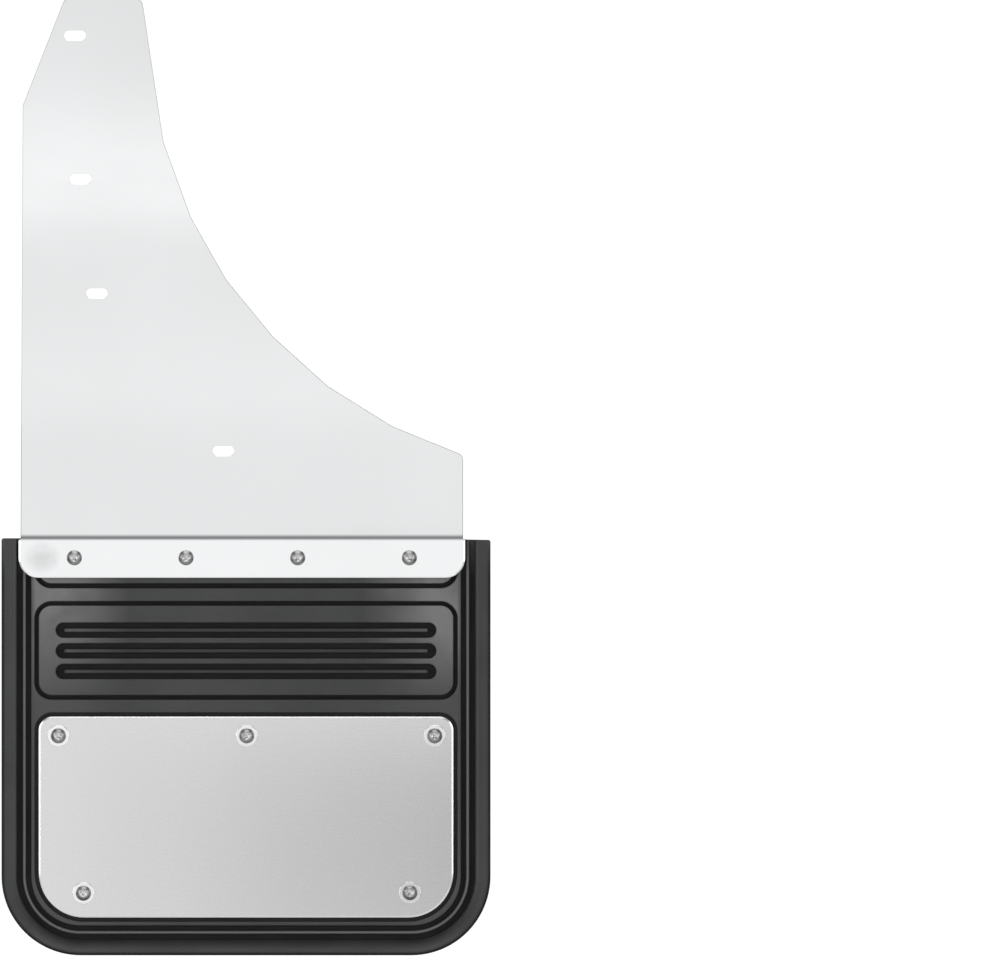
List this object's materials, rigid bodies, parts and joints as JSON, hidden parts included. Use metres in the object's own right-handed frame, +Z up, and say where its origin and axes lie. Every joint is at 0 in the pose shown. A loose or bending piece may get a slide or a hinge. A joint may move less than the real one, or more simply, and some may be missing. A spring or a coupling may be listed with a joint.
{
  "type": "mud flap",
  "caption": "Truck mud flap: moulded black rubber with a brushed stainless weight plate, bolted to a bent stainless bracket that has a wheel-arch cut-out and mounting slots.",
  "frame": {"origin": "middle of the flap's width on the bend line, where the back faces of the bracket's mounting plate and flange would meet in a sharp corner", "axes": "+X across the flap towards the wheel-arch cut-out, +Y from the show side towards the tyre, +Z up"},
  "size_m": [0.3556, 0.0741, 0.6948],
  "materials": {
    "polished_stainless": "polished sheet, faintly cloudy",
    "brushed_stainless": "fine satin with a bright edge",
    "black_rubber": "moulded, semi-matte with a slight sheen",
    "stainless_screw": "bright stainless button head",
    "stainless_washer": "bright stamped washer",
    "zinc_plated_washer": "zinc plated",
    "zinc_plated_nut": "zinc plated",
    "nylon": "natural nylon"
  },
  "bodies": {
    "bracket": {"bracket": "polished_stainless", "flap_clamped_edge": "black_rubber", "bracket_screw_1": "stainless_screw", "bracket_screw_2": "stainless_screw", "bracket_screw_3": "stainless_screw", "bracket_screw_4": "stainless_screw", "bracket_washer_1": "zinc_plated_washer", "bracket_washer_2": "zinc_plated_washer", "bracket_washer_3": "zinc_plated_washer", "bracket_washer_4": "zinc_plated_washer", "bracket_nut_1": "zinc_plated_nut", "bracket_nut_2": "zinc_plated_nut", "bracket_nut_3": "zinc_plated_nut", "bracket_nut_4": "zinc_plated_nut", "bracket_nut_insert_1": "nylon", "bracket_nut_insert_2": "nylon", "bracket_nut_insert_3": "nylon", "bracket_nut_insert_4": "nylon"},
    "flap": {"rubber_flap": "black_rubber", "weight_plate": "brushed_stainless", "weight_screw_1": "stainless_screw", "weight_screw_2": "stainless_screw", "weight_screw_3": "stainless_screw", "weight_screw_4": "stainless_screw", "weight_screw_5": "stainless_screw", "weight_front_washer_1": "stainless_washer", "weight_front_washer_2": "stainless_washer", "weight_front_washer_3": "stainless_washer", "weight_front_washer_4": "stainless_washer", "weight_front_washer_5": "stainless_washer", "weight_rear_washer_1": "zinc_plated_washer", "weight_rear_washer_2": "zinc_plated_washer", "weight_rear_washer_3": "zinc_plated_washer", "weight_rear_washer_4": "zinc_plated_washer", "weight_rear_washer_5": "zinc_plated_washer", "weight_nut_1": "zinc_plated_nut", "weight_nut_2": "zinc_plated_nut", "weight_nut_3": "zinc_plated_nut", "weight_nut_4": "zinc_plated_nut", "weight_nut_5": "zinc_plated_nut", "weight_nut_insert_1": "nylon", "weight_nut_insert_2": "nylon", "weight_nut_insert_3": "nylon", "weight_nut_insert_4": "nylon", "weight_nut_insert_5": "nylon"}
  },
  "joints": [
    {"name": "flap_flex", "type": "hinge", "parent": "bracket", "child": "flap", "pos_m": [0, 0, -0.0305], "axis": [-1, 0, 0], "range_deg": [-15, 60], "stiffness_Nm_per_rad": 1.2, "springref_deg": -1.72}
  ]
}
